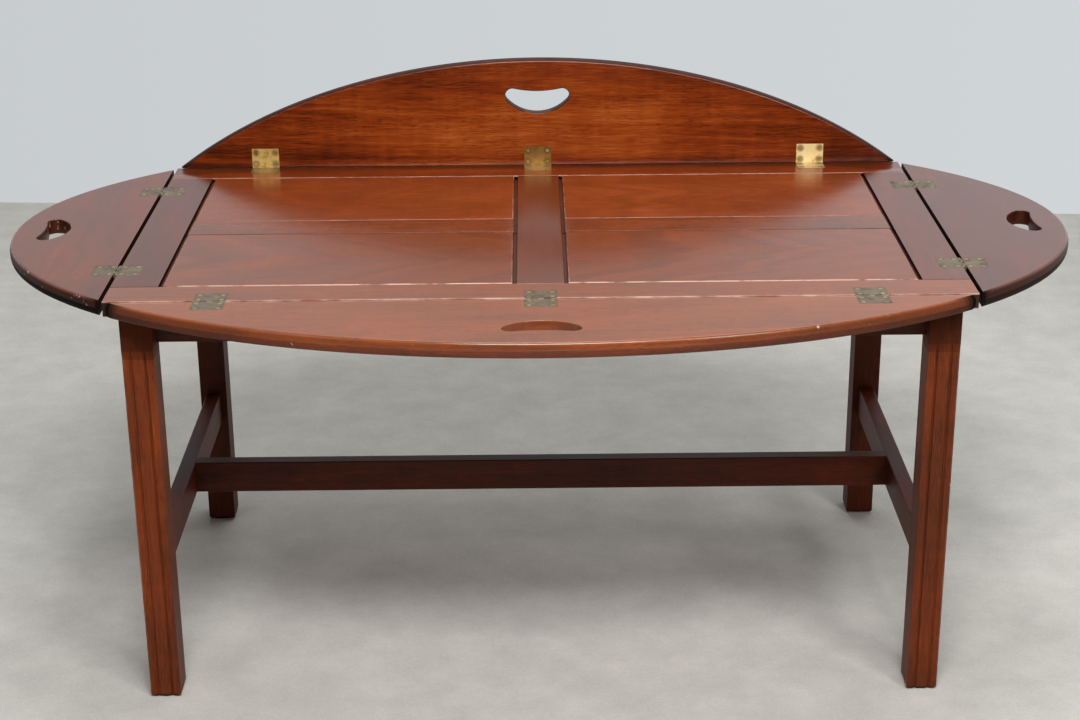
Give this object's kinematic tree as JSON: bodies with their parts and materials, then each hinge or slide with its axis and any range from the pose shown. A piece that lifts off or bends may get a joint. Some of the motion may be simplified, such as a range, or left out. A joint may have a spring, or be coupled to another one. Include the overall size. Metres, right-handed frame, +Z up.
{
  "type": "butler tray table",
  "caption": "Low coffee table: a framed, panelled tray whose hinged leaves lie flat as an oval or stand up as rims with finger holes, on a square-legged base with H stretchers.",
  "frame": {"origin": "on the floor, under the middle of the tray and of the base", "axes": "+Z up; +X to the right along the table's length; +Y to the rear, towards the leaf that stands upright"},
  "size_m": [1.144, 0.6442, 0.5732],
  "materials": {
    "mahogany": "satin lacquer",
    "secondary_wood": "bare",
    "brass": "polished, a little tarnished",
    "steel": "zinc plated",
    "spring_steel": "tempered"
  },
  "bodies": {
    "base": {"leg_front_left": "mahogany", "leg_front_right": "mahogany", "leg_rear_left": "mahogany", "leg_rear_right": "mahogany", "apron_front": "mahogany", "apron_rear": "mahogany", "apron_left": "mahogany", "apron_right": "mahogany", "stretcher_left": "mahogany", "stretcher_right": "mahogany", "stretcher_centre": "mahogany", "corner_blocks": "secondary_wood", "corner_screws": "steel", "foot_glides": "steel", "locating_dowels": "secondary_wood"},
    "tray": {"rail_front": "mahogany", "rail_rear": "mahogany", "stile_left": "mahogany", "stile_right": "mahogany", "stile_centre": "mahogany", "mid_rail_left": "mahogany", "mid_rail_right": "mahogany", "panel_front_left": "mahogany", "panel_front_right": "mahogany", "panel_rear_left": "mahogany", "panel_rear_right": "mahogany", "tray_plate_front_left": "brass", "tray_plate_front_centre": "brass", "tray_plate_front_right": "brass", "tray_plate_rear_left": "brass", "tray_plate_rear_centre": "brass", "tray_plate_rear_right": "brass", "tray_plate_left_front": "brass", "tray_plate_left_rear": "brass", "tray_plate_right_front": "brass", "tray_plate_right_rear": "brass", "hinge_pins": "brass", "detent_strips": "spring_steel", "tray_plate_screws": "brass"},
    "front_leaf": {"leaf_front": "mahogany", "leaf_plate_front_left": "brass", "leaf_plate_front_centre": "brass", "leaf_plate_front_right": "brass", "leaf_screws_front": "brass"},
    "rear_leaf": {"leaf_rear": "mahogany", "leaf_plate_rear_left": "brass", "leaf_plate_rear_centre": "brass", "leaf_plate_rear_right": "brass", "leaf_screws_rear": "brass"},
    "left_leaf": {"leaf_left": "mahogany", "leaf_plate_left_front": "brass", "leaf_plate_left_rear": "brass", "leaf_screws_left": "brass"},
    "right_leaf": {"leaf_right": "mahogany", "leaf_plate_right_front": "brass", "leaf_plate_right_rear": "brass", "leaf_screws_right": "brass"}
  },
  "joints": [
    {"name": "tray_lift", "type": "slide", "parent": "base", "child": "tray", "axis": [0, 0, 1], "range_m": [0, 0.12]},
    {"name": "front_leaf_hinge", "type": "hinge", "parent": "tray", "child": "front_leaf", "pos_m": [0, -0.25, 0.4432], "axis": [-1, 0, 0], "range_deg": [0, 90]},
    {"name": "rear_leaf_hinge", "type": "hinge", "parent": "tray", "child": "rear_leaf", "pos_m": [0, 0.25, 0.4432], "axis": [-1, 0, 0], "range_deg": [0, 90]},
    {"name": "left_leaf_hinge", "type": "hinge", "parent": "tray", "child": "left_leaf", "pos_m": [-0.434, 0, 0.4432], "axis": [0, 1, 0], "range_deg": [0, 90]},
    {"name": "right_leaf_hinge", "type": "hinge", "parent": "tray", "child": "right_leaf", "pos_m": [0.434, 0, 0.4432], "axis": [0, -1, 0], "range_deg": [0, 90]}
  ]
}
